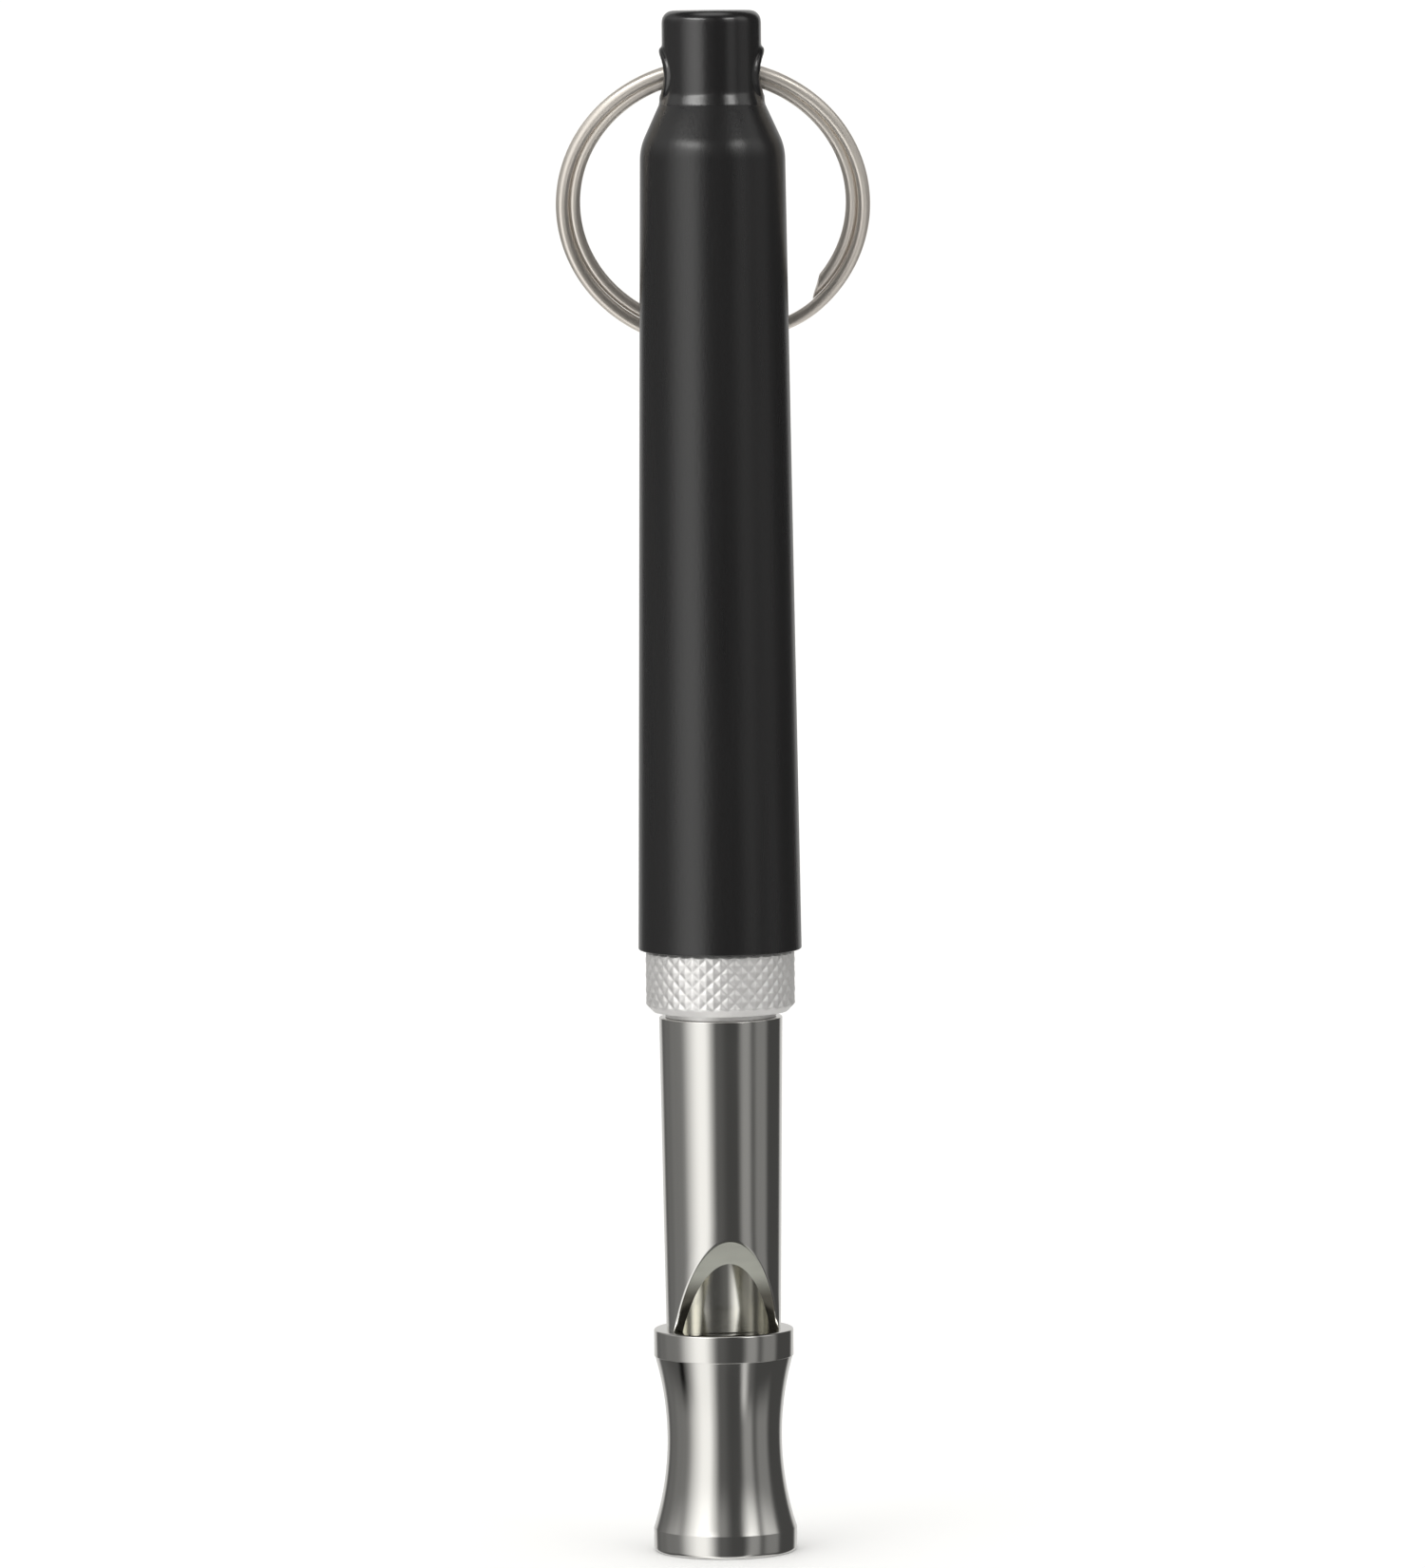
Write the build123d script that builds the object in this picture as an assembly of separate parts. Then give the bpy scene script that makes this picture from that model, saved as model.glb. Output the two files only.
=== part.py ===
"""Adjustable-pitch dog training whistle: turned metal body, tuning screw under a push-on cap, split ring.

Frame, in millimetres: +Z runs up the whistle's axis from the mouthpiece to the cap, the origin is the
centre of the mouthpiece's end face, and -Y is the front, where the sound window is cut.
"""
from build123d import *
import math
import os

# Driving dimensions
TOTAL_LENGTH = 82.0

MOUTH_HEIGHT = 11.9           # mouthpiece, from its end face to the face the tube stands on
MOUTH_RIM_R = 3.82
MOUTH_TOP_RIM_R = 3.72
MOUTH_LOW_BAND = 1.20         # height of the straight band at each end of the waist
MOUTH_TOP_BAND = 1.45
WAIST_R = 3.055
WAIST_Z = 6.05                # height of the narrowest section
WAIST_ARC_R = 15.8
BLOW_BORE_R = 2.40
BLOW_BORE_DEPTH = 7.0
EDGE_R = 0.2                  # rounding of the end that touches the lips

BORE_R = 2.62                 # resonator bore
SOCKET_R = 2.88               # joint between tube and mouthpiece
SOCKET_DEPTH = 3.25
TUBE_R_LOW = 3.05
TUBE_R_TOP = 3.28
TUBE_TOP_Z = 28.6
TUBE_END_WALL = 3.0           # tapped wall that closes the tube's top
WINDOW_APEX_Z = 17.06
WINDOW_SLOPE = 0.385          # depth of the window's cut per unit of height
WINDOW_TURN = 7.0             # degrees that the window is turned from -Y towards +X
WINDWAY_FLAT_Y = 1.95         # distance from the axis to the plug's flat
PLUG_LOW_Z = 7.2

THREAD_R = 2.0                # M4 x 0.7 tuning thread
THREAD_PITCH = 0.7
THREAD_DEPTH = 0.43
THREAD_HOLE_R = 2.05
SCREW_TOP_Z = 58.0
SLOT_WIDTH = 0.8
SLOT_DEPTH = 1.2

PLUNGER_FACE_Z = 19.0
PLUNGER_LENGTH = 2.4
PLUNGER_R = 2.55
SPIGOT_R = 1.2                # screw's lower end, which turns in the plunger
SPIGOT_LENGTH = 1.6
SPIGOT_GAP = 0.03
SEAL_Z = 20.15
SEAL_WIRE_R = 0.29
SEAL_R = 2.27
SEAL_GROOVE_R = 1.96
SEAL_GROOVE_WIDTH = 0.75

NUT_R = 3.97
NUT_FACE_R = 2.95             # narrow face that bears on the tube's end
NUT_FACE_HEIGHT = 0.3
NUT_FACE_GAP = 0.02
NUT_GRIP_HEIGHT = 3.25
NUT_CHAMFER = 0.4
NUT_BOSS_R = 3.12             # boss that the cap is pushed on to
NUT_BOSS_HEIGHT = 2.9

CAP_GAP = 0.05                # between the nut's grip and the cap's mouth
CAP_MOUTH_R = 4.34
CAP_TOP_R = 3.84
CAP_TOP_Z = 74.78             # where the taper meets the shoulder
CAP_SOCKET_R = 3.17
CAP_SOCKET_DEPTH = 3.2
CAP_BORE_R = 3.0
CAP_BORE_TOP_Z = 73.2
SHOULDER_TOP_Z = 77.15
SHOULDER_TOP_R = 2.76
SHOULDER_FILLET = 3.0
HANGER_HOLE_R = 1.9

NECK_R = 2.63
NECK_FILLET = 0.6
NECK_FOOT_R = 2.75            # small flare where the neck stands on the cap's shoulder
NECK_FOOT_HEIGHT = 0.5
RING_HOLE_Z = 78.6
RING_HOLE_R = 1.05
RING_COLLAR_R = 1.45          # raised collar round each mouth of the ring hole
RING_COLLAR_TOP_R = 2.79      # the collars follow the neck's curve, at this radius from the axis

WIRE_R = 0.34
RING_INNER_TURN_R = 7.40
RING_OUTER_TURN_R = 8.02
RING_TURN_OFFSET = 0.17       # how far each turn lies from the ring's mid plane
RING_FROM_HOLE = 7.425        # ring hole to ring centre
RING_LEAN = 22.0              # degrees behind the cap, from hanging straight down
RING_INNER_END = -47.0        # degrees round the ring, counted from +X towards the ring hole
RING_OUTER_END = 250.0
RING_CROSSING_POINTS = 3      # points inside the stretch where the wire crosses to the outer turn

PRESS_GAP = 0.01              # drawn between pieces that are pressed together


def turned(outline):
    """Solid of revolution about Z from a closed outline of (radius, height) points."""
    face = make_face(Plane.XZ * Polyline(*outline, close=True))
    return revolve(face, Axis.Z, 360)


def disc(radius, low, high):
    """Plain round bar along Z."""
    return Pos(0, 0, low) * Cylinder(radius, high - low, align=(Align.CENTER, Align.CENTER, Align.MIN))


def mouthpiece():
    """Waisted mouthpiece with the blow bore below and the tube's socket above."""
    def waist_r(z):
        return WAIST_R + WAIST_ARC_R - math.sqrt(WAIST_ARC_R**2 - (z - WAIST_Z) ** 2)

    low, high = MOUTH_LOW_BAND, MOUTH_HEIGHT - MOUTH_TOP_BAND
    top_edge = EDGE_R / 2
    seat_z = MOUTH_HEIGHT - SOCKET_DEPTH
    outline = Polyline(
        (waist_r(high), high),
        (MOUTH_TOP_RIM_R, high),
        (MOUTH_TOP_RIM_R, MOUTH_HEIGHT - top_edge),
        (MOUTH_TOP_RIM_R - top_edge, MOUTH_HEIGHT),
        (SOCKET_R, MOUTH_HEIGHT),
        (SOCKET_R, seat_z),
        (BORE_R, seat_z),
        (BORE_R, BLOW_BORE_DEPTH),
        (BLOW_BORE_R, BLOW_BORE_DEPTH),
        (BLOW_BORE_R, 0),
        (MOUTH_RIM_R - EDGE_R, 0),
    )
    corner_x = MOUTH_RIM_R - EDGE_R * (1 - math.sqrt(0.5))
    corner_z = EDGE_R * (1 - math.sqrt(0.5))
    lip = ThreePointArc((MOUTH_RIM_R - EDGE_R, 0), (corner_x, corner_z), (MOUTH_RIM_R, EDGE_R))
    band = Polyline((MOUTH_RIM_R, EDGE_R), (MOUTH_RIM_R, low), (waist_r(low), low))
    waist = ThreePointArc((waist_r(low), low), (WAIST_R, WAIST_Z), (waist_r(high), high))
    face = make_face(Plane.XZ * (outline + lip + band + waist))
    return revolve(face, Axis.Z, 360)


def windway_plug():
    """Block in the tube's foot; the flat on its front leaves the slit that the air leaves by."""
    plug = disc(BORE_R - PRESS_GAP, PLUG_LOW_Z, MOUTH_HEIGHT)
    front = Pos(0, -WINDWAY_FLAT_Y, 0) * Box(
        4 * BORE_R, BORE_R, 4 * MOUTH_HEIGHT, align=(Align.CENTER, Align.MAX, Align.CENTER)
    )
    return Rot(0, 0, WINDOW_TURN) * (plug - front)


def whistle_tube():
    """Tapered resonator tube, tapped at the top, with the sloping window cut in its front."""
    foot_z = MOUTH_HEIGHT - SOCKET_DEPTH + PRESS_GAP
    wall_z = TUBE_TOP_Z - TUBE_END_WALL
    edge = EDGE_R / 2
    tube = turned([
        (BORE_R, foot_z),
        (SOCKET_R - PRESS_GAP, foot_z),
        (SOCKET_R - PRESS_GAP, MOUTH_HEIGHT),
        (TUBE_R_LOW, MOUTH_HEIGHT),
        (TUBE_R_TOP, TUBE_TOP_Z - edge),
        (TUBE_R_TOP - edge, TUBE_TOP_Z),
        (THREAD_HOLE_R, TUBE_TOP_Z),
        (THREAD_HOLE_R, wall_z),
        (BORE_R, wall_z),
    ])
    apex_y = -(TUBE_R_LOW + TUBE_R_TOP) / 2
    deep_y = apex_y + (WINDOW_APEX_Z - MOUTH_HEIGHT) * WINDOW_SLOPE
    clear_y = 2 * apex_y
    clear_z = WINDOW_APEX_Z + (apex_y - clear_y) / WINDOW_SLOPE
    side = Polyline((deep_y, MOUTH_HEIGHT), (clear_y, clear_z), (clear_y, MOUTH_HEIGHT), close=True)
    window = extrude(make_face(Plane.YZ * side), 2 * TUBE_R_TOP, both=True)
    return tube - Rot(0, 0, WINDOW_TURN) * window


def plunger():
    """Piston that closes the resonator, grooved for its seal and drilled for the screw."""
    top = PLUNGER_FACE_Z + PLUNGER_LENGTH
    piston = disc(PLUNGER_R, PLUNGER_FACE_Z, top)
    low, high = SEAL_Z - SEAL_GROOVE_WIDTH / 2, SEAL_Z + SEAL_GROOVE_WIDTH / 2
    groove = disc(PLUNGER_R + 1, low, high) - disc(SEAL_GROOVE_R, low, high)
    return piston - groove - disc(SPIGOT_R, top - SPIGOT_LENGTH, top)


def plunger_seal():
    """O-ring in the plunger's groove."""
    return Pos(0, 0, SEAL_Z) * Torus(SEAL_R, SEAL_WIRE_R)


def tuning_screw():
    """Threaded rod with a spigot for the plunger and a screwdriver slot in its top."""
    low = PLUNGER_FACE_Z + PLUNGER_LENGTH + SPIGOT_GAP
    root_r = THREAD_R - THREAD_DEPTH
    outline = [
        (0, low - SPIGOT_LENGTH),
        (SPIGOT_R - SPIGOT_GAP, low - SPIGOT_LENGTH),
        (SPIGOT_R - SPIGOT_GAP, low),
        (root_r, low),
    ]
    turns = int((SCREW_TOP_Z - low) / THREAD_PITCH)
    start = SCREW_TOP_Z - turns * THREAD_PITCH
    for turn in range(turns):
        root_z = start + turn * THREAD_PITCH
        outline += [
            (root_r, root_z),
            (THREAD_R, root_z + THREAD_PITCH * 0.4),
            (THREAD_R, root_z + THREAD_PITCH * 0.55),
        ]
    outline += [(root_r, SCREW_TOP_Z), (0, SCREW_TOP_Z)]
    slot = Pos(0, 0, SCREW_TOP_Z) * Box(3 * THREAD_R, SLOT_WIDTH, 2 * SLOT_DEPTH)
    return turned(outline) - slot


def lock_nut():
    """Round nut: a narrow bearing face, the knurled grip, and above it the boss for the cap."""
    face_z = TUBE_TOP_Z + NUT_FACE_GAP
    low = TUBE_TOP_Z + NUT_FACE_HEIGHT
    grip_top = low + NUT_GRIP_HEIGHT
    boss_top = grip_top + NUT_BOSS_HEIGHT
    half = NUT_CHAMFER / 3
    return turned([
        (THREAD_HOLE_R, face_z),
        (NUT_FACE_R, face_z),
        (NUT_FACE_R, low),
        (NUT_R - NUT_CHAMFER, low),
        (NUT_R, low + NUT_CHAMFER),
        (NUT_R, grip_top - half),
        (NUT_R - half, grip_top),
        (NUT_BOSS_R, grip_top),
        (NUT_BOSS_R, boss_top - NUT_CHAMFER),
        (NUT_BOSS_R - NUT_CHAMFER, boss_top),
        (THREAD_HOLE_R, boss_top),
    ])


def cap_mouth_z():
    return TUBE_TOP_Z + NUT_FACE_HEIGHT + NUT_GRIP_HEIGHT + CAP_GAP


def cap():
    """Tapered push-on cap that shields the tuning screw."""
    low = cap_mouth_z()
    edge = EDGE_R / 2
    shell = turned([
        (CAP_SOCKET_R, low),
        (CAP_MOUTH_R - edge, low),
        (CAP_MOUTH_R, low + edge),
        (CAP_TOP_R, CAP_TOP_Z),
        (SHOULDER_TOP_R, SHOULDER_TOP_Z),
        (HANGER_HOLE_R, SHOULDER_TOP_Z),
        (HANGER_HOLE_R, CAP_BORE_TOP_Z),
        (CAP_BORE_R, CAP_BORE_TOP_Z),
        (CAP_BORE_R, low + CAP_SOCKET_DEPTH),
        (CAP_SOCKET_R, low + CAP_SOCKET_DEPTH),
    ])
    corner = [e for e in shell.edges() if abs(e.center().Z - CAP_TOP_Z) < 0.01 and e.length > 6 * CAP_TOP_R]
    return fillet(corner, SHOULDER_FILLET)


def ring_hanger():
    """Neck pressed into the cap's top, with the cross hole that the split ring hangs in."""
    neck = disc(NECK_R, SHOULDER_TOP_Z, TOTAL_LENGTH)
    rim = [e for e in neck.edges() if abs(e.center().Z - TOTAL_LENGTH) < 0.01]
    neck = fillet(rim, NECK_FILLET)
    foot = Pos(0, 0, SHOULDER_TOP_Z) * Cone(
        NECK_FOOT_R, NECK_R, NECK_FOOT_HEIGHT, align=(Align.CENTER, Align.CENTER, Align.MIN)
    )
    collars = Pos(0, 0, RING_HOLE_Z) * Rot(0, 90, 0) * Cylinder(RING_COLLAR_R, 4 * NECK_R)
    collars &= disc(RING_COLLAR_TOP_R, SHOULDER_TOP_Z, TOTAL_LENGTH)
    spigot = disc(HANGER_HOLE_R - PRESS_GAP, CAP_BORE_TOP_Z, SHOULDER_TOP_Z)
    hole = Pos(0, 0, RING_HOLE_Z) * Rot(0, 90, 0) * Cylinder(RING_HOLE_R, 4 * NECK_R)
    return neck + foot + collars + spigot - hole


def split_ring():
    """Spring wire of one and four fifths turns; its two turns nest side by side in the hanger's hole."""
    def point(degrees, radius, height):
        a = math.radians(degrees)
        return Vector(radius * math.cos(a), radius * math.sin(a), height)

    def arc(radius, height, low, high):
        return ThreePointArc(*(point(a, radius, height) for a in (low, (low + high) / 2, high)))

    cross_end = RING_INNER_END + 360
    inner = arc(RING_INNER_TURN_R, -RING_TURN_OFFSET, RING_INNER_END, RING_OUTER_END)
    outer = arc(RING_OUTER_TURN_R, RING_TURN_OFFSET, cross_end, RING_OUTER_END + 360)
    crossing = []
    for i in range(RING_CROSSING_POINTS + 2):
        t = i / (RING_CROSSING_POINTS + 1)
        ease = t * t * (3 - 2 * t)
        radius = RING_INNER_TURN_R + (RING_OUTER_TURN_R - RING_INNER_TURN_R) * ease
        angle = RING_OUTER_END + (cross_end - RING_OUTER_END) * t
        crossing.append(point(angle, radius, RING_TURN_OFFSET * (2 * ease - 1)))
    link = Spline(*crossing, tangents=[inner % 1, outer % 0])
    wire_path = Wire([inner.edge(), link.edge(), outer.edge()])
    section = Plane(origin=inner @ 0, z_dir=inner % 0) * Circle(WIRE_R)
    ring = sweep(section, path=wire_path)
    lean = math.radians(RING_LEAN)
    down = Vector(0, math.sin(lean), -math.cos(lean))
    centre = Vector(0, 0, RING_HOLE_Z) + down * RING_FROM_HOLE
    facing = Vector(0, -math.cos(lean), -math.sin(lean))
    return Plane(origin=centre, x_dir=(1, 0, 0), z_dir=facing) * ring


def main():
    parts = {
        "mouthpiece": mouthpiece(),
        "windway_plug": windway_plug(),
        "whistle_tube": whistle_tube(),
        "plunger": plunger(),
        "plunger_seal": plunger_seal(),
        "tuning_screw": tuning_screw(),
        "lock_nut": lock_nut(),
        "cap": cap(),
        "ring_hanger": ring_hanger(),
        "split_ring": split_ring(),
    }
    os.makedirs("parts", exist_ok=True)
    for name, shape in parts.items():
        export_step(shape, f"parts/{name}.step")
        print(name, len(shape.solids()), round(shape.volume, 2), shape.is_valid)


main()
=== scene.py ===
"""Looks for the adjustable dog training whistle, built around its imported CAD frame.

Lengths in this file are millimetres, in the CAD frame, until a mesh is made: MM turns them into metres.
The whistle stands on its mouthpiece, +Z up, with its sound window towards -Y, where the camera is.
"""

import math

import bmesh
import bpy
from mathutils import Matrix, Vector


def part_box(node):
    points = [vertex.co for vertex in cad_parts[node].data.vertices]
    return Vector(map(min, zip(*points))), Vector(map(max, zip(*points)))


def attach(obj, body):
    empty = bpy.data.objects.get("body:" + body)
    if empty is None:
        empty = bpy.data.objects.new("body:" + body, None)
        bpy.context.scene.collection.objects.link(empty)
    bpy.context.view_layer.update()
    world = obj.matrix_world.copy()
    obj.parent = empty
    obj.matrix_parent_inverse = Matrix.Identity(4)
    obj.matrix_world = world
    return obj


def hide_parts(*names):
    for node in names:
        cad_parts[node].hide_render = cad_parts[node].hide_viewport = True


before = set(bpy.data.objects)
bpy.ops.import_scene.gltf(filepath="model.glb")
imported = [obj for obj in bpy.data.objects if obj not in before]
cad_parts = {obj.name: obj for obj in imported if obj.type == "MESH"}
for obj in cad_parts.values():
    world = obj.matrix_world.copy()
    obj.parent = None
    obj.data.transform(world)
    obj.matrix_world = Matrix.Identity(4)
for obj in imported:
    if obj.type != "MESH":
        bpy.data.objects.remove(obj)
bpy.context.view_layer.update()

MM = 0.001
TURN = 2 * math.pi
MERGE_DISTANCE = 1e-6  # metres


def low_z(node):
    """Height of a CAD node's lowest point, in millimetres."""
    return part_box(node)[0][2] / MM


def high_z(node):
    """Height of a CAD node's highest point, in millimetres."""
    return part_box(node)[1][2] / MM


# ---------------------------------------------------------------- sizes shared with the CAD model
MOUTH_TOP = high_z("mouthpiece")
TUBE_TOP = high_z("whistle_tube")
NUT_TOP = high_z("lock_nut")
CAP_LOW = low_z("cap")
SHOULDER_TOP = high_z("cap")
WHISTLE_TOP = high_z("ring_hanger")
SCREW_LOW = low_z("tuning_screw")
SCREW_TOP = high_z("tuning_screw")

BLOW_BORE_R = 2.40
BLOW_BORE_DEPTH = 7.0
RIM_R = 3.82
TOP_RIM_R = 3.72
LOW_BAND = 1.20
TOP_BAND = 1.45
WAIST_R = 3.055
WAIST_Z = 6.05
WAIST_ARC_R = 15.8
SOCKET_R = 2.88
SOCKET_DEPTH = 3.25

BORE_R = 2.62
FOOT_R = 2.87
TUBE_R_LOW = 3.05
TUBE_R_TOP = 3.28
TUBE_END_WALL = 3.0
TUBE_END_EDGE = 0.05
THREAD_HOLE_R = 2.05
WINDOW_APEX = 17.06
WINDOW_SLOPE = 0.385
WINDOW_TURN = math.radians(7)
WINDOW_WEAR_TOP = 0.08  # share of the cut's face that its worn outer edge takes up
WINDOW_WEAR_FOOT = 0.50

NUT_R = 3.97
NUT_FACE_R = 2.95
NUT_FACE_GAP = 0.02
NUT_FACE_HEIGHT = 0.3
NUT_GRIP_HEIGHT = 3.25
NUT_CHAMFER = 0.4
NUT_BOSS_R = 3.12

CAP_MOUTH_R = 4.34
CAP_TOP_R = 3.84
CAP_TOP_Z = 74.78
CAP_SOCKET_R = 3.17
CAP_SOCKET_DEPTH = 3.2
CAP_BORE_R = 3.0
CAP_BORE_TOP = 73.2
SHOULDER_TOP_R = 2.76
SHOULDER_FILLET = 3.0
HANGER_HOLE_R = 1.9

NECK_R = 2.63
NECK_FILLET = 0.6
NECK_FOOT_R = 2.75
NECK_FOOT_HEIGHT = 0.5
NECK_FOOT_SKIRT = 0.17  # how far the visible foot reaches down over the shoulder
NECK_SPIGOT_GAP = 0.02
NECK_VOXEL = 0.055
NECK_SMOOTHING = 22  # passes that round the neck's edges
RING_HOLE_Z = 78.6
RING_HOLE_R = 1.05
RING_COLLAR_R = 1.45
RING_COLLAR_TOP_R = 2.79

WIRE_R = 0.34
RING_INNER_TURN_R = 7.40
RING_OUTER_TURN_R = 8.02
RING_TURN_OFFSET = 0.17
RING_FROM_HOLE = 7.425
RING_LEAN = math.radians(22)
RING_INNER_END = -47.0
RING_OUTER_END = 250.0
RING_TIP_GRIND = 1.3
RING_STEP = 2.0  # degrees between the points of the wire's path
WIRE_SIDES = 24

THREAD_R = 2.0
THREAD_PITCH = 0.7
THREAD_DEPTH = 0.43
THREAD_RUNOUT = 0.6
SPIGOT_R = 1.17
SPIGOT_LENGTH = 1.6
SLOT_WIDTH = 0.8
SLOT_DEPTH = 1.2


# ---------------------------------------------------------------- mesh helpers
def piece(name, body, node, material, verts, faces, sharp=30):
    """Make a mesh piece from millimetre points; it rides on a body and stands for a CAD node."""
    mesh = bpy.data.meshes.new(name)
    mesh.from_pydata([Vector(v) * MM for v in verts], [], faces)
    bm = bmesh.new()
    bm.from_mesh(mesh)
    bmesh.ops.remove_doubles(bm, verts=bm.verts, dist=MERGE_DISTANCE)
    bmesh.ops.recalc_face_normals(bm, faces=bm.faces)
    bm.to_mesh(mesh)
    bm.free()
    mesh.polygons.foreach_set("use_smooth", [True] * len(mesh.polygons))
    mesh.set_sharp_from_angle(angle=math.radians(sharp))
    obj = bpy.data.objects.new(name, mesh)
    bpy.context.scene.collection.objects.link(obj)
    mesh.materials.append(material)
    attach(obj, body)
    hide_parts(node)
    return obj


def rounded(points, steps=5):
    """Outline of (radius, height, corner radius) points with each corner turned into an arc."""
    out = []
    count = len(points)
    for i, (r, z, fillet) in enumerate(points):
        here = Vector((r, z))
        if fillet <= 0:
            out.append((r, z))
            continue
        before = (Vector(points[i - 1][:2]) - here).normalized()
        after = (Vector(points[(i + 1) % count][:2]) - here).normalized()
        half = before.angle(after) / 2
        reach = fillet / math.tan(half)
        centre = here + (before + after).normalized() * (fillet / math.sin(half))
        start = here + before * reach - centre
        end = here + after * reach - centre
        sweep = start.angle_signed(end)
        for k in range(steps + 1):
            a = -sweep * k / steps
            out.append(tuple(centre + Matrix.Rotation(a, 2) @ start))
    return out


def spread(start, end, steps):
    """Evenly spaced values from start to end, both included."""
    return [start + (end - start) * i / steps for i in range(steps + 1)]


def round_columns(columns, section_at, first=0.0):
    """Vertices of a round skin: section_at gives the (radius, height) points at an angle from the first."""
    verts = []
    for c in range(columns):
        angle = TURN * c / columns
        across, along = math.cos(first + angle), math.sin(first + angle)
        verts += [(r * across, r * along, z) for r, z in section_at(angle)]
    return verts


def open_faces(columns, rows):
    """Quads of a round skin stored column by column, open at its first and last rows."""
    faces = []
    for c in range(columns):
        here, there = c * rows, (c + 1) % columns * rows
        faces += [(here + i, there + i, there + i + 1, here + i + 1) for i in range(rows - 1)]
    return faces


def closed_faces(columns, rows):
    """As open_faces, with the last row joined back to the first."""
    faces = open_faces(columns, rows)
    for c in range(columns):
        here, there = c * rows, (c + 1) % columns * rows
        faces.append((here + rows - 1, there + rows - 1, there, here))
    return faces


def lathe(outline, columns):
    """Vertices and faces of a closed outline of (radius, height) points, turned about Z."""
    return round_columns(columns, lambda angle: outline), closed_faces(columns, len(outline))


def apply_modifiers(obj):
    """Replace an object's mesh by its evaluated mesh, and drop its modifiers."""
    bpy.context.view_layer.update()
    graph = bpy.context.evaluated_depsgraph_get()
    mesh = bpy.data.meshes.new_from_object(obj.evaluated_get(graph))
    obj.modifiers.clear()
    obj.data = mesh


def apply_boolean(obj, other, operation):
    """Join or cut obj with another object, which is then removed."""
    modifier = obj.modifiers.new("boolean", "BOOLEAN")
    modifier.operation = operation
    modifier.object = other
    modifier.solver = "EXACT"
    apply_modifiers(obj)
    bpy.data.objects.remove(other, do_unlink=True)


# ---------------------------------------------------------------- materials
def new_material(name, colour, metallic, roughness):
    """Principled material; returns it with its shader and its node tree."""
    mat = bpy.data.materials.new(name)
    mat.use_nodes = True
    tree = mat.node_tree
    shader = tree.nodes["Principled BSDF"]
    shader.inputs["Base Color"].default_value = (*colour, 1)
    shader.inputs["Metallic"].default_value = metallic
    shader.inputs["Roughness"].default_value = roughness
    return mat, shader, tree


def stretched_noise(tree, scale, stretch, detail=4.0):
    """Noise in object space, per metre, stretched by a factor along each axis."""
    coords = tree.nodes.new("ShaderNodeTexCoord")
    mapping = tree.nodes.new("ShaderNodeMapping")
    mapping.inputs["Scale"].default_value = stretch
    noise = tree.nodes.new("ShaderNodeTexNoise")
    noise.inputs["Scale"].default_value = scale
    noise.inputs["Detail"].default_value = detail
    tree.links.new(coords.outputs["Object"], mapping.inputs["Vector"])
    tree.links.new(mapping.outputs["Vector"], noise.inputs["Vector"])
    return noise.outputs["Fac"]


def remap(tree, value, low, high):
    """Spread the middle of a noise, 0.3 to 0.7, over low to high."""
    node = tree.nodes.new("ShaderNodeMapRange")
    node.inputs["From Min"].default_value = 0.3
    node.inputs["From Max"].default_value = 0.7
    node.inputs["To Min"].default_value = low
    node.inputs["To Max"].default_value = high
    tree.links.new(value, node.inputs["Value"])
    return node.outputs["Result"]


def add_bump(tree, shader, height, distance):
    """Bump the shader's normal by a height of at most the given distance in metres."""
    bump = tree.nodes.new("ShaderNodeBump")
    bump.inputs["Distance"].default_value = distance
    tree.links.new(height, bump.inputs["Height"])
    tree.links.new(bump.outputs["Normal"], shader.inputs["Normal"])


def tint(tree, shader, value, dark, light):
    """Vary the shader's colour between two colours."""
    mix = tree.nodes.new("ShaderNodeMix")
    mix.data_type = "RGBA"
    mix.inputs["A"].default_value = (*dark, 1)
    mix.inputs["B"].default_value = (*light, 1)
    tree.links.new(value, mix.inputs["Factor"])
    tree.links.new(mix.outputs["Result"], shader.inputs["Base Color"])


def paint_shade_below(tree, shader, shade_starts, shade_full, colour):
    """Paint shade: turn the shader's tint into a darker colour from one height down to another, in
    millimetres.
    """
    colours = shader.inputs["Base Color"].links[0].from_socket
    coords = tree.nodes.new("ShaderNodeTexCoord")
    split = tree.nodes.new("ShaderNodeSeparateXYZ")
    tree.links.new(coords.outputs["Object"], split.inputs["Vector"])
    height = tree.nodes.new("ShaderNodeMapRange")
    height.interpolation_type = "SMOOTHSTEP"
    height.inputs["From Min"].default_value = shade_starts * MM
    height.inputs["From Max"].default_value = shade_full * MM
    tree.links.new(split.outputs["Z"], height.inputs["Value"])
    mix = tree.nodes.new("ShaderNodeMix")
    mix.data_type = "RGBA"
    mix.inputs["B"].default_value = (*colour, 1)
    tree.links.new(height.outputs["Result"], mix.inputs["Factor"])
    tree.links.new(colours, mix.inputs["A"])
    tree.links.new(mix.outputs["Result"], shader.inputs["Base Color"])


def polished_nickel():
    """Plated brass, polished along its length: fine lengthwise lines and cloudy smudges."""
    mat, shader, tree = new_material("polished_nickel", (0.80, 0.79, 0.76), 1.0, 0.08)
    smudge = stretched_noise(tree, 260, (1, 1, 0.5))
    tree.links.new(remap(tree, smudge, 0.07, 0.16), shader.inputs["Roughness"])
    tint(tree, shader, smudge, (0.77, 0.755, 0.72), (0.84, 0.835, 0.81))
    lines = stretched_noise(tree, 2600, (1, 1, 0.02), 3.0)
    add_bump(tree, shader, lines, 1.5e-6)
    return mat


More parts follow.
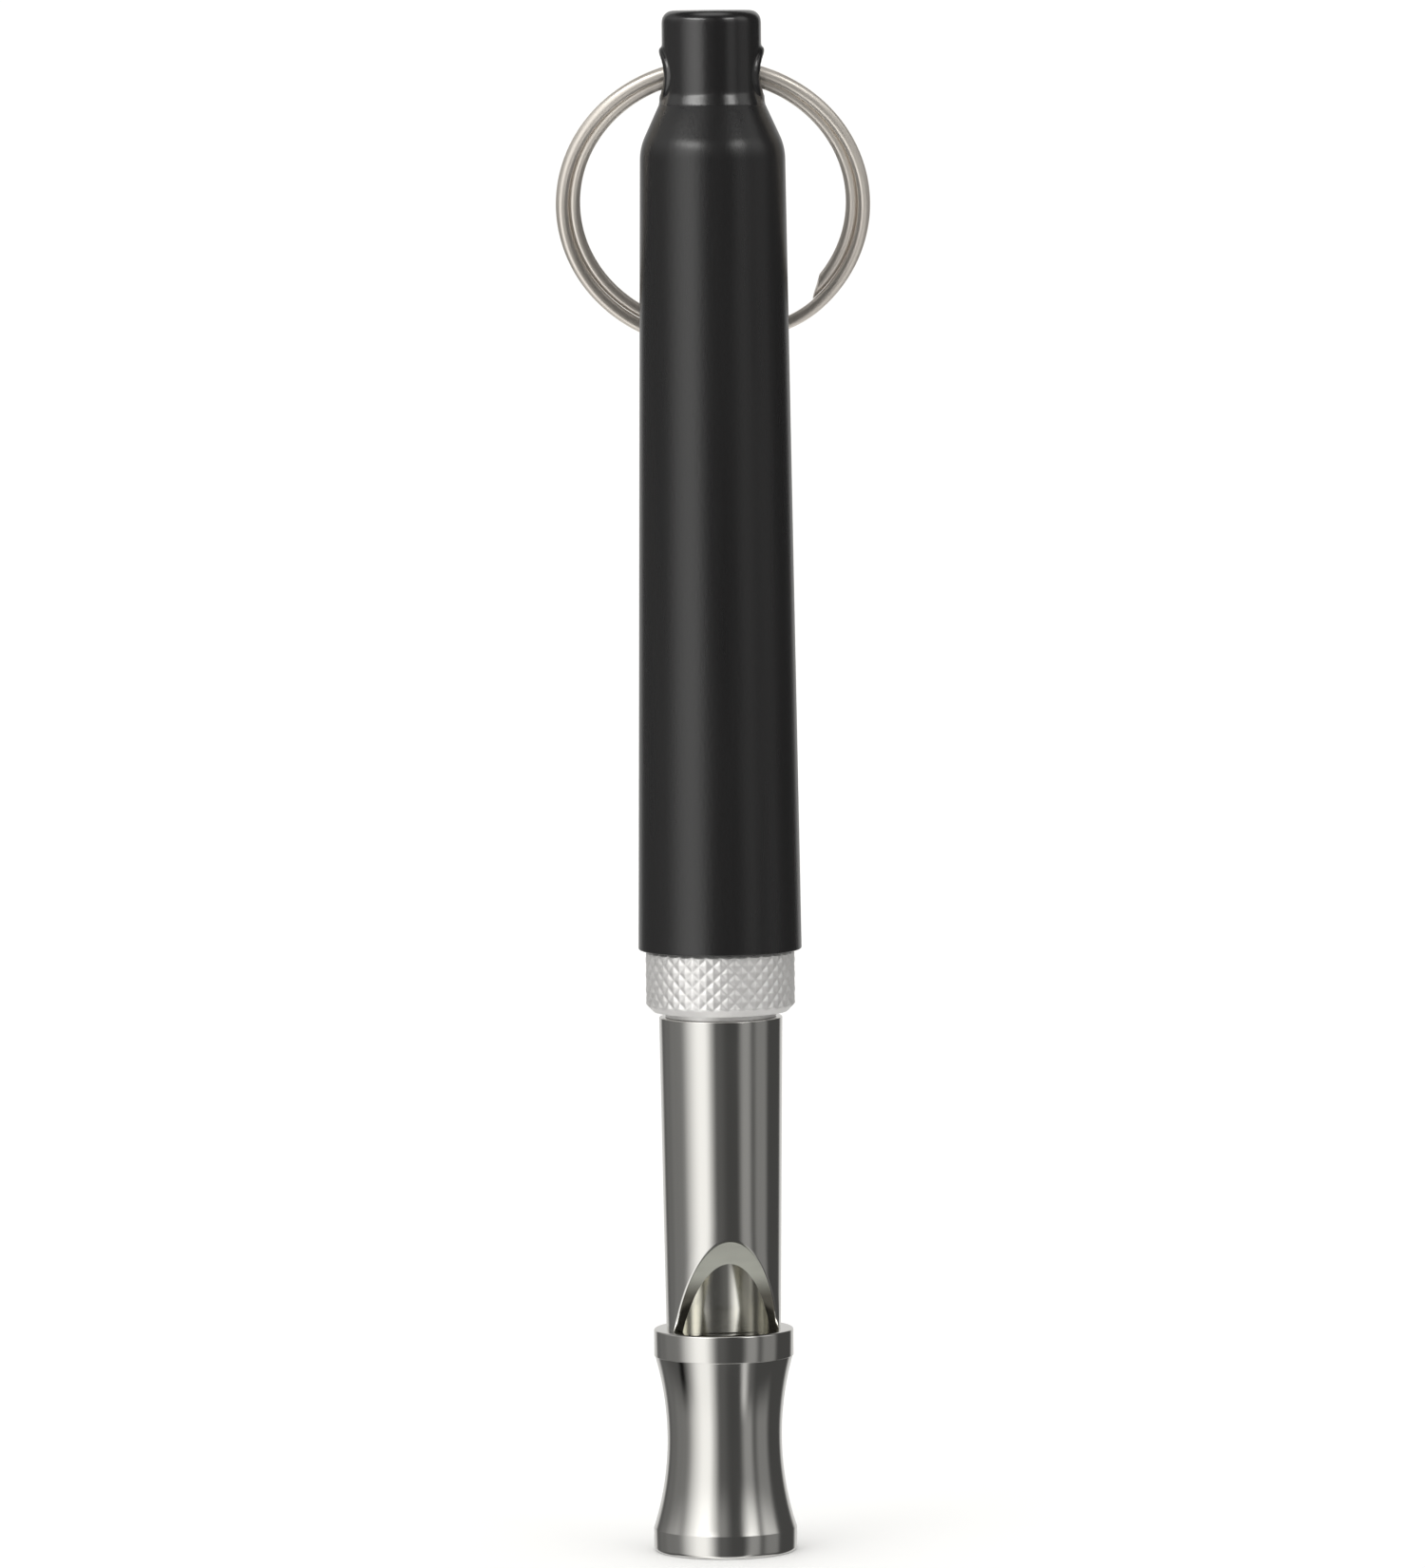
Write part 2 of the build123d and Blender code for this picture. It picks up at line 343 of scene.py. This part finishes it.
def milled_nickel():
    """Plated face left by the cutter that opens the window: half dull, with fine marks across it."""
    mat, shader, tree = new_material("milled_nickel", (0.76, 0.76, 0.69), 1.0, 0.2)
    marks = stretched_noise(tree, 2200, (0.3, 1, 1))
    tree.links.new(remap(tree, marks, 0.15, 0.26), shader.inputs["Roughness"])
    tint(tree, shader, marks, (0.76, 0.77, 0.68), (0.86, 0.87, 0.78))
    add_bump(tree, shader, marks, 2e-6)
    # Painted shade: the cut face is darkened from 15.2 mm down to 13.7 mm, standing in for the dark
    # reflection at its lower corners.
    paint_shade_below(tree, shader, 15.2, 13.7, (0.20, 0.19, 0.16))
    return mat


def bore_nickel():
    """Plating inside the tube and on the plug that closes it: shiny, but never polished, and coloured
    lighter than the outside nickel as painted light in the bore.
    """
    # Painted light: these colours are lighter than the outer nickel's, to brighten the inside of the tube.
    mat, shader, tree = new_material("bore_nickel", (0.91, 0.90, 0.84), 1.0, 0.14)
    drag = stretched_noise(tree, 1400, (1, 1, 0.1))
    tree.links.new(remap(tree, drag, 0.10, 0.20), shader.inputs["Roughness"])
    tint(tree, shader, drag, (0.88, 0.87, 0.80), (0.95, 0.94, 0.89))
    add_bump(tree, shader, drag, 2e-6)
    return mat


def knurled_nickel():
    """Rolled knurl: bright, but too fine and rough to mirror anything."""
    mat, shader, tree = new_material("knurled_nickel", (0.95, 0.94, 0.92), 0.74, 0.46)
    grain = stretched_noise(tree, 3600, (1, 1, 1))
    tree.links.new(remap(tree, grain, 0.40, 0.52), shader.inputs["Roughness"])
    tint(tree, shader, grain, (0.93, 0.92, 0.90), (0.99, 0.98, 0.975))
    add_bump(tree, shader, grain, 1.2e-5)
    return mat


def ring_steel():
    """Plated spring wire, dulled and slightly worn."""
    mat, shader, tree = new_material("ring_steel", (0.95, 0.89, 0.82), 0.78, 0.34)
    wear = stretched_noise(tree, 900, (1, 1, 1))
    tree.links.new(remap(tree, wear, 0.30, 0.38), shader.inputs["Roughness"])
    tint(tree, shader, wear, (0.93, 0.87, 0.79), (0.98, 0.92, 0.85))
    # Painted shade: the wire is tinted darker from 76 mm down to 66 mm, away from the light above.
    paint_shade_below(tree, shader, 76.0, 66.0, (0.86, 0.80, 0.73))
    add_bump(tree, shader, wear, 1e-6)
    return mat


def cut_steel():
    """Plated screw with a cut thread."""
    mat, shader, tree = new_material("cut_steel", (0.62, 0.61, 0.58), 1.0, 0.25)
    marks = stretched_noise(tree, 3000, (1, 1, 1))
    tree.links.new(remap(tree, marks, 0.18, 0.38), shader.inputs["Roughness"])
    add_bump(tree, shader, marks, 6e-6)
    return mat


def machined_brass():
    """Bare brass with the rings that a lathe tool leaves."""
    mat, shader, tree = new_material("machined_brass", (0.72, 0.58, 0.34), 1.0, 0.25)
    rings = stretched_noise(tree, 1500, (0.05, 0.05, 1))
    tint(tree, shader, rings, (0.60, 0.46, 0.25), (0.78, 0.65, 0.41))
    add_bump(tree, shader, rings, 6e-6)
    return mat


def seal_rubber():
    """Black O-ring rubber."""
    mat, shader, tree = new_material("seal_rubber", (0.02, 0.02, 0.02), 0.0, 0.6)
    grain = stretched_noise(tree, 4000, (1, 1, 1))
    tint(tree, shader, grain, (0.012, 0.012, 0.012), (0.035, 0.035, 0.035))
    add_bump(tree, shader, grain, 1e-5)
    return mat


def black_plastic(name, roughness, gloss, grain_height):
    """Moulded black plastic: fine grain and flow lines along its length."""
    mat, shader, tree = new_material(name, (0.012, 0.012, 0.012), 0.0, roughness)
    shader.inputs["IOR"].default_value = 1.6
    shader.inputs["Specular IOR Level"].default_value = gloss
    flow = stretched_noise(tree, 700, (1, 1, 0.06))
    tint(tree, shader, flow, (0.0075, 0.0072, 0.0075), (0.0125, 0.012, 0.0125))
    tree.links.new(remap(tree, flow, roughness - 0.03, roughness + 0.05), shader.inputs["Roughness"])
    grain = stretched_noise(tree, 6000, (1, 1, 0.35), 2.0)
    add_bump(tree, shader, grain, grain_height)
    return mat


NICKEL = polished_nickel()
MILLED = milled_nickel()
BORE = bore_nickel()
KNURL = knurled_nickel()
RING = ring_steel()
SCREW = cut_steel()
BRASS = machined_brass()
RUBBER = seal_rubber()
CAP_BLACK = black_plastic("cap_plastic", 0.28, 0.62, 5e-6)
NECK_BLACK = black_plastic("neck_plastic", 0.20, 0.85, 4e-6)


# ---------------------------------------------------------------- metal pieces
def make_mouthpiece():
    """Waisted mouthpiece with a rounded lip, a band at each end, and its bore and socket."""
    def waist_r(z):
        return WAIST_R + WAIST_ARC_R - math.sqrt(WAIST_ARC_R**2 - (z - WAIST_Z) ** 2)

    low, high = LOW_BAND, MOUTH_TOP - TOP_BAND
    seat = MOUTH_TOP - SOCKET_DEPTH
    outline = rounded([
        (BLOW_BORE_R, BLOW_BORE_DEPTH, 0),
        (BLOW_BORE_R, 0, 0.12),
        (RIM_R, 0, 0.2),
        (RIM_R, low, 0.03),
    ])
    outline += [(waist_r(z), z) for z in spread(low, high, 48)]
    outline += rounded([
        (waist_r(high), high, 0),
        (TOP_RIM_R, high, 0.03),
        (TOP_RIM_R, MOUTH_TOP, 0.1),
        (SOCKET_R, MOUTH_TOP, 0),
        (SOCKET_R, seat, 0),
        (BORE_R, seat, 0),
        (BORE_R, BLOW_BORE_DEPTH, 0),
    ])[1:]
    verts, faces = lathe(outline, 192)
    piece("mouthpiece_turned", "whistle_body", "mouthpiece", NICKEL, verts, faces, 24)


def tube_r(z):
    """Outer radius of the tapered tube."""
    return TUBE_R_LOW + (TUBE_R_TOP - TUBE_R_LOW) * (z - MOUTH_TOP) / (TUBE_TOP - MOUTH_TOP)


def window_depth(z):
    """How far from the axis the window's sloping cut lies at a height."""
    middle_r = (TUBE_R_LOW + TUBE_R_TOP) / 2
    return middle_r - (WINDOW_APEX - z) * WINDOW_SLOPE


def cut_height(radius_at, angle):
    """Height where the window's cut leaves a surface, at an angle from the window's middle."""
    low, high = MOUTH_TOP, WINDOW_APEX + 1
    if radius_at(low) * math.cos(angle) <= window_depth(low):
        return low
    for _ in range(40):
        middle = (low + high) / 2
        if radius_at(middle) * math.cos(angle) > window_depth(middle):
            low = middle
        else:
            high = middle
    return low


def heel_radius(angle, low):
    """Radius where the wall's lowest face ends inside: on the bore, or where the cut meets the flat."""
    cut = window_depth(MOUTH_TOP)
    if math.cos(angle) * BORE_R >= cut:
        return BORE_R
    just_inside = tube_r(low) - 0.02
    if math.cos(angle) * just_inside > cut:
        return cut / math.cos(angle)
    return just_inside


def tube_section(angle):
    """Outline of the tube's wall at an angle from the window's middle, from the cut up and round."""
    low = cut_height(tube_r, angle)
    high = TUBE_TOP - TUBE_END_EDGE
    heel_r = heel_radius(angle, low)
    heel_z = cut_height(lambda z: heel_r, angle)
    inward = Vector((heel_r - tube_r(low), heel_z - low))
    upward = Vector((tube_r(high) - tube_r(low), high - low))
    down_the_cut = (WINDOW_APEX - low) / (WINDOW_APEX - MOUTH_TOP)
    worn = WINDOW_WEAR_TOP + (WINDOW_WEAR_FOOT - WINDOW_WEAR_TOP) * down_the_cut**2
    edge = worn * inward.length * math.tan(inward.angle(upward) / 2)
    outline = [(heel_r, heel_z, 0), (tube_r(low), low, edge)]
    outline += [(tube_r(z), z, 0) for z in spread(low, high, 20)[2:-1]]
    outline += [
        (TUBE_R_TOP, TUBE_TOP, TUBE_END_EDGE),
        (THREAD_HOLE_R, TUBE_TOP, 0),
        (THREAD_HOLE_R, TUBE_TOP - TUBE_END_WALL, 0),
    ]
    inner_low = cut_height(lambda z: BORE_R, angle)
    outline += [(BORE_R, z, 0) for z in spread(TUBE_TOP - TUBE_END_WALL, inner_low, 20)]
    return rounded(outline, 8)


def off_window_cut(point):
    """How far a point lies outside the window's sloping cut, measured square to the whistle's axis."""
    return point.x * math.sin(WINDOW_TURN) - point.y * math.cos(WINDOW_TURN) - window_depth(point.z)


def make_tube():
    """Tapered tube whose wall ends on the window's sloping cut, and the foot ring that it stands in."""
    columns = 320
    verts = round_columns(columns, tube_section, WINDOW_TURN - math.pi / 2)
    faces = closed_faces(columns, len(verts) // columns)
    foot = MOUTH_TOP - SOCKET_DEPTH + 0.01
    ring = [(BORE_R, foot), (FOOT_R, foot), (FOOT_R, MOUTH_TOP), (BORE_R, MOUTH_TOP)]
    foot_verts, foot_faces = lathe(ring, 160)
    faces += [tuple(i + len(verts) for i in face) for face in foot_faces]
    verts += foot_verts
    obj = piece(
        "whistle_tube_turned", "whistle_body", "whistle_tube", NICKEL, verts, faces, 24,
    )
    obj.data.materials.append(MILLED)
    obj.data.materials.append(BORE)
    for face in obj.data.polygons:
        middle = face.center / MM
        if math.hypot(middle.x, middle.y) < BORE_R + 0.01:
            face.material_index = 2
        elif abs(off_window_cut(middle)) < 0.01 and middle.z > MOUTH_TOP:
            face.material_index = 1


def make_lock_nut():
    """Short nut with a rolled diamond knurl between two chamfers, and a plain boss above."""
    diamonds = 32
    knurl_pitch = TURN * NUT_R / diamonds
    knurl_depth = 0.075
    low = TUBE_TOP + NUT_FACE_HEIGHT
    high = low + NUT_GRIP_HEIGHT
    face = TUBE_TOP + NUT_FACE_GAP

    def groove(value):
        return abs(math.sin(math.pi * value))

    def grip_r(angle, z):
        around = angle / TURN * diamonds
        up = (z - low) / knurl_pitch
        relief = 1 - min(groove(around + up), groove(around - up))
        chamfer_r = NUT_R - max(NUT_CHAMFER - (z - low), NUT_CHAMFER / 3 - (high - z))
        return min(NUT_R - knurl_depth * relief, chamfer_r)

    def section(angle):
        return [
            (THREAD_HOLE_R, face),
            (NUT_FACE_R, face),
            (NUT_FACE_R, low),
            *((grip_r(angle, z), z) for z in spread(low, high, 56)),
            (NUT_BOSS_R, high),
            (NUT_BOSS_R, NUT_TOP - NUT_CHAMFER),
            (NUT_BOSS_R - NUT_CHAMFER, NUT_TOP),
            (THREAD_HOLE_R, NUT_TOP),
        ]

    columns = 16 * diamonds
    verts = round_columns(columns, section)
    faces = closed_faces(columns, len(verts) // columns)
    piece("lock_nut_knurled", "lock_nut", "lock_nut", KNURL, verts, faces, 35)


def cut_slot(obj):
    """Cut the screwdriver slot across the screw's top."""
    bpy.ops.mesh.primitive_cube_add(size=1, location=(0, 0, SCREW_TOP * MM))
    cutter = bpy.context.object
    cutter.scale = Vector((3 * THREAD_R, SLOT_WIDTH, 2 * SLOT_DEPTH)) * MM
    apply_boolean(obj, cutter, "DIFFERENCE")


def make_tuning_screw():
    """Right-hand helical thread on a rod, with a spigot below and a screwdriver slot above."""
    low = SCREW_LOW + SPIGOT_LENGTH
    rows_per_turn = 10
    rows = int((SCREW_TOP - low) / THREAD_PITCH * rows_per_turn)

    def thread_r(z, angle):
        phase = ((z - low) / THREAD_PITCH - angle / TURN) % 1.0
        profile = min(1.0, max(0.0, 1.25 - 3.0 * abs(phase - 0.5)))
        fade = min(1.0, (z - low) / THREAD_RUNOUT, (SCREW_TOP - z) / THREAD_RUNOUT)
        return THREAD_R - THREAD_DEPTH + THREAD_DEPTH * profile * max(0.0, fade)

    def section(angle):
        return [
            (0.0, SCREW_LOW),
            (SPIGOT_R, SCREW_LOW),
            (SPIGOT_R, low),
            *((thread_r(z, angle), z) for z in spread(low, SCREW_TOP, rows)),
            (0.0, SCREW_TOP),
        ]

    columns = 64
    verts = round_columns(columns, section)
    faces = open_faces(columns, len(verts) // columns)
    obj = piece(
        "tuning_screw_threaded", "tuning_screw", "tuning_screw", SCREW, verts, faces, 40,
    )
    cut_slot(obj)


# ---------------------------------------------------------------- plastic pieces
def make_cap():
    """Tapered cap with a rounded shoulder, open below."""
    outline = rounded([
        (CAP_SOCKET_R, CAP_LOW, 0.12),
        (CAP_MOUTH_R, CAP_LOW, 0.1),
        (CAP_TOP_R, CAP_TOP_Z, SHOULDER_FILLET),
        (SHOULDER_TOP_R, SHOULDER_TOP, 0.06),
        (HANGER_HOLE_R, SHOULDER_TOP, 0),
        (HANGER_HOLE_R, CAP_BORE_TOP, 0),
        (CAP_BORE_R, CAP_BORE_TOP, 0),
        (CAP_BORE_R, CAP_LOW + CAP_SOCKET_DEPTH, 0),
        (CAP_SOCKET_R, CAP_LOW + CAP_SOCKET_DEPTH, 0),
    ], 10)
    verts, faces = lathe(outline, 192)
    piece("cap_moulded", "cap", "cap", CAP_BLACK, verts, faces, 30)


def cross_bar(radius):
    """Bar along X through the middle of the ring's hole, wider than the neck."""
    bpy.ops.mesh.primitive_cylinder_add(
        vertices=96, radius=radius * MM, depth=4 * NECK_R * MM,
        location=(0, 0, RING_HOLE_Z * MM), rotation=(0, math.pi / 2, 0),
    )
    return bpy.context.object


def ring_collars():
    """Collars round both mouths of the ring's hole, as one bar whose ends follow the neck's curve."""
    collars = cross_bar(RING_COLLAR_R)
    bpy.ops.mesh.primitive_cylinder_add(
        vertices=192, radius=RING_COLLAR_TOP_R * MM, depth=(WHISTLE_TOP - SHOULDER_TOP) * MM,
        location=(0, 0, (WHISTLE_TOP + SHOULDER_TOP) / 2 * MM),
    )
    apply_boolean(collars, bpy.context.object, "INTERSECT")
    return collars


def melt_edges(obj):
    """Round every edge of a boolean's result, as moulding does."""
    remesh = obj.modifiers.new("remesh", "REMESH")
    remesh.mode = "VOXEL"
    remesh.voxel_size = NECK_VOXEL * MM
    smooth = obj.modifiers.new("smooth", "SMOOTH")
    smooth.factor = 0.5
    smooth.iterations = NECK_SMOOTHING
    apply_modifiers(obj)
    obj.data.polygons.foreach_set("use_smooth", [True] * len(obj.data.polygons))


def make_ring_hanger():
    """Neck with a low collar round each mouth of the ring's cross hole; its moulded edges are soft."""
    skirt = SHOULDER_TOP - NECK_FOOT_SKIRT
    skirt_r = NECK_FOOT_R + NECK_FOOT_SKIRT / 2 + 0.01
    spigot_r = HANGER_HOLE_R - NECK_SPIGOT_GAP
    outline = rounded([
        (0, WHISTLE_TOP, 0),
        (NECK_R, WHISTLE_TOP, NECK_FILLET),
        (NECK_R, SHOULDER_TOP + NECK_FOOT_HEIGHT, 0),
        (skirt_r, skirt, 0),
        (skirt_r, skirt - 0.1, 0),
        (spigot_r, skirt - 0.1, 0),
        (spigot_r, CAP_BORE_TOP, 0),
        (0, CAP_BORE_TOP, 0),
    ])
    verts, faces = lathe(outline, 128)
    obj = piece(
        "ring_hanger_moulded", "cap", "ring_hanger", NECK_BLACK, verts, faces, 30,
    )
    apply_boolean(obj, ring_collars(), "UNION")
    apply_boolean(obj, cross_bar(RING_HOLE_R), "DIFFERENCE")
    melt_edges(obj)


# ---------------------------------------------------------------- split ring
def ring_path():
    """Centre line of the ring's wire in its own plane, as (x, y, offset) points, inner end first."""
    cross_end = RING_INNER_END + 360
    points = []
    angle = RING_INNER_END
    while angle < RING_OUTER_END + 360:
        t = min(1.0, max(0.0, (angle - RING_OUTER_END) / (cross_end - RING_OUTER_END)))
        crossed = t * t * (3 - 2 * t)
        radius = RING_INNER_TURN_R + (RING_OUTER_TURN_R - RING_INNER_TURN_R) * crossed
        offset = RING_TURN_OFFSET * (2 * crossed - 1)
        a = math.radians(angle)
        points.append(Vector((radius * math.cos(a), radius * math.sin(a), offset)))
        angle += RING_STEP
    return points


def wire_loop(path, i, size, nudge):
    """Points round the wire at a point of its path, scaled by size and pushed along the wire by nudge."""
    last = len(path) - 1
    tangent = (path[min(i + 1, last)] - path[max(i - 1, 0)]).normalized()
    side = tangent.cross(Vector((0, 0, 1))).normalized()
    rise = side.cross(tangent)
    travelled = i * (path[1] - path[0]).length * 0.98
    loop = []
    for k in range(WIRE_SIDES):
        a = TURN * k / WIRE_SIDES
        ground = max(0.0, RING_TIP_GRIND * (1.0 - math.cos(a) * size) / 2 - travelled)
        spoke = (side * math.cos(a) + rise * math.sin(a)) * WIRE_R * size
        loop.append(path[i] + tangent * (nudge + ground) + spoke)
    return loop


def make_split_ring():
    """Round wire swept along the ring's path; its inner end is ground to a slope so things thread on."""
    path = ring_path()
    last = len(path) - 1
    end_size, end_nudge = 0.8, 0.05
    loops = [wire_loop(path, 0, size, -end_nudge) for size in (0.0, end_size)]
    loops += [wire_loop(path, i, 1.0, 0.0) for i in range(len(path))]
    loops += [wire_loop(path, last, size, end_nudge) for size in (end_size, 0.0)]
    down = Vector((0, math.sin(RING_LEAN), -math.cos(RING_LEAN)))
    facing = Vector((0, -math.cos(RING_LEAN), -math.sin(RING_LEAN)))
    across = Vector((1, 0, 0))
    upward = facing.cross(across)
    centre = Vector((0, 0, RING_HOLE_Z)) + down * RING_FROM_HOLE
    verts = [centre + across * p.x + upward * p.y + facing * p.z for loop in loops for p in loop]
    faces = []
    for row in range(len(loops) - 1):
        here, there = row * WIRE_SIDES, (row + 1) * WIRE_SIDES
        for k in range(WIRE_SIDES):
            m = (k + 1) % WIRE_SIDES
            faces.append((here + k, here + m, there + m, there + k))
    piece("split_ring_wire", "split_ring", "split_ring", RING, verts, faces, 40)


# ---------------------------------------------------------------- carried-over CAD nodes
def dress(node, material):
    """Give a carried-over CAD node a material of its own."""
    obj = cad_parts[node]
    for slot in obj.material_slots:
        slot.material = material
    obj.data.polygons.foreach_set("use_smooth", [True] * len(obj.data.polygons))


# ---------------------------------------------------------------- stage
CAMERA_DISTANCE = 568.0
CAMERA_HEIGHT = 87.0
AIM = (-0.32, 0.0, 41.0)
ROLL = math.radians(-0.55)
LENS = 246.3

# Soft cards round the whistle, in degrees from the camera towards +X: where a card starts and ends,
# how far each of its sides fades, how bright it is low down, at eye level and high up, and how bright
# the lamp at its top is. A negative brightness shades the cards that it overlaps.
CARDS = [
    (-65, -21, 50, 26, 1.00, 1.05, 1.35, 4.2),
    (-20, 4, 10, 20, 0.045, 0.045, 0.195, 0.0),
    (-140, -84, 30, 16, 0.02, 0.09, 0.29, 0.0),
    (36, 58, 16, 14, 0.06, 0.24, 0.92, 3.2),
    (66, 96, 16, 14, 0.0, 0.16, 0.64, 0.0),
    (28, 36, 10, 8, 0.0, 0.0, 0.20, 0.0),
    (-112, -84, 14, 16, 0.0, 0.035, 0.13, 0.0),
    (-88, -60, 16, 20, -0.13, 0.045, 0.09, 0.0),
    (35, 44, 14, 16, 0.62, 0.0, 0.0, 0.0),
    (148, 212, 16, 16, 0.60, 0.60, 0.60, 0.0),
]
# Elevations in degrees between which each change of the light comes in.
CARDS_SINK = (-14, -28)
CARDS_RISE = (4, 24)
LAMP_STARTS = (25, 29)
LAMP_ENDS = (38, 33)
CARD_TOP_FADES = (32, 46)
OVERHEAD_STARTS = (60, 78)
UNDERFOOT_STARTS = (-40, -48)

CARD_TOP_LOSS = 0.88
DARK = 0.065
OVERHEAD = 0.9
UNDERFOOT = 0.42
FILL = 0.92
BACKDROP = 1.05


def math_node(tree, operation, *values):
    """Result of a maths node; each value is a number or another node's output."""
    node = tree.nodes.new("ShaderNodeMath")
    node.operation = operation
    for socket, value in zip(node.inputs, values):
        if isinstance(value, (int, float)):
            socket.default_value = value
        else:
            tree.links.new(value, socket)
    return node.outputs["Value"]


def ease(tree, value, start, end):
    """0 to 1 as the value goes smoothly from start to end, which may lie below it."""
    node = tree.nodes.new("ShaderNodeMapRange")
    node.interpolation_type = "SMOOTHSTEP"
    node.inputs["From Min"].default_value = start
    node.inputs["From Max"].default_value = end
    tree.links.new(value, node.inputs["Value"])
    return node.outputs["Result"]


def add_card(tree, azimuth, levels, card, light):
    """Add one card's light; levels are the shares of its low, high and lamp brightness."""
    sunk, risen, in_lamp = levels
    start, end, start_fade, end_fade, low, level, high, lamp = card
    half = (end - start) / 2
    turned = math_node(tree, "SUBTRACT", azimuth, (start + end) / 2)
    offset = math_node(tree, "WRAP", turned, 180.0, -180.0)
    after_start = ease(tree, offset, -half - start_fade / 2, -half + start_fade / 2)
    before_end = ease(tree, offset, half + end_fade / 2, half - end_fade / 2)
    inside = math_node(tree, "MULTIPLY", after_start, before_end)
    brightness = math_node(tree, "MULTIPLY_ADD", sunk, low - level, level)
    brightness = math_node(tree, "MULTIPLY_ADD", risen, high - level, brightness)
    brightness = math_node(tree, "MULTIPLY_ADD", in_lamp, lamp, brightness)
    return math_node(tree, "MULTIPLY_ADD", inside, brightness, light)


def room_light(tree):
    """Brightness of the room in each direction, for reflections."""
    coords = tree.nodes.new("ShaderNodeTexCoord")
    split = tree.nodes.new("ShaderNodeSeparateXYZ")
    tree.links.new(coords.outputs["Generated"], split.inputs["Vector"])
    to_camera = math_node(tree, "MULTIPLY", split.outputs["Y"], -1.0)
    azimuth = math_node(tree, "ARCTAN2", split.outputs["X"], to_camera)
    azimuth = math_node(tree, "MULTIPLY", azimuth, 180 / math.pi)
    elevation = math_node(tree, "ARCSINE", split.outputs["Z"])
    elevation = math_node(tree, "MULTIPLY", elevation, 180 / math.pi)
    lamp_starts = ease(tree, elevation, *LAMP_STARTS)
    lamp_ends = ease(tree, elevation, *LAMP_ENDS)
    levels = (
        ease(tree, elevation, *CARDS_SINK),
        ease(tree, elevation, *CARDS_RISE),
        math_node(tree, "MULTIPLY", lamp_starts, lamp_ends),
    )
    light = 0.0
    for card in CARDS:
        light = add_card(tree, azimuth, levels, card, light)
    top = ease(tree, elevation, *CARD_TOP_FADES)
    under_top = math_node(tree, "MULTIPLY_ADD", top, -CARD_TOP_LOSS, 1.0)
    light = math_node(tree, "MULTIPLY_ADD", under_top, light, DARK)
    light = math_node(tree, "MULTIPLY_ADD", ease(tree, elevation, *OVERHEAD_STARTS), OVERHEAD, light)
    return math_node(tree, "MULTIPLY_ADD", ease(tree, elevation, *UNDERFOOT_STARTS), UNDERFOOT, light)


def make_world():
    """White for the camera; for light and reflections, a dark room with soft cards and a top light."""
    world = bpy.data.worlds.new("studio")
    bpy.context.scene.world = world
    world.use_nodes = True
    tree = world.node_tree
    path = tree.nodes.new("ShaderNodeLightPath")
    light = math_node(tree, "MULTIPLY_ADD", path.outputs["Is Diffuse Ray"], FILL, room_light(tree))
    seen = math_node(tree, "MULTIPLY", path.outputs["Is Camera Ray"], BACKDROP)
    unseen = math_node(tree, "SUBTRACT", 1.0, path.outputs["Is Camera Ray"])
    shader = tree.nodes["Background"]
    tree.links.new(math_node(tree, "MULTIPLY_ADD", unseen, light, seen), shader.inputs["Strength"])
    shader.inputs["Color"].default_value = (1.0, 0.995, 0.98, 1)


def make_floor():
    """Plain pale floor that the whistle stands on."""
    bpy.ops.mesh.primitive_circle_add(vertices=128, radius=1.6, fill_type="NGON")
    floor = bpy.context.object
    floor.name = "floor"
    floor.location.z = -2e-5
    mat, shader, tree = new_material("pale_floor", (0.93, 0.93, 0.925), 0.0, 0.7)
    grain = stretched_noise(tree, 60, (1, 1, 1))
    tint(tree, shader, grain, (0.92, 0.92, 0.915), (0.94, 0.94, 0.935))
    floor.data.materials.append(mat)
    floor.visible_glossy = False


def make_camera():
    """Long lens a little above the whistle's middle, looking along +Y."""
    data = bpy.data.cameras.new("camera")
    data.lens = LENS
    data.sensor_width = 36
    camera = bpy.data.objects.new("camera", data)
    bpy.context.scene.collection.objects.link(camera)
    place = Vector((AIM[0], -CAMERA_DISTANCE, CAMERA_HEIGHT)) * MM
    look = Vector(AIM) * MM - place
    turn = look.to_track_quat("-Z", "Y").to_matrix().to_4x4()
    camera.matrix_world = Matrix.Translation(place) @ turn @ Matrix.Rotation(ROLL, 4, "Z")
    data.clip_start = 0.01
    bpy.context.scene.camera = camera


make_mouthpiece()
make_tube()
make_lock_nut()
make_tuning_screw()
make_cap()
make_ring_hanger()
make_split_ring()
dress("windway_plug", BORE)
dress("plunger", BRASS)
dress("plunger_seal", RUBBER)
make_world()
make_floor()
make_camera()

bpy.context.scene.view_settings.view_transform = "Standard"
bpy.context.scene.cycles.use_denoising = True
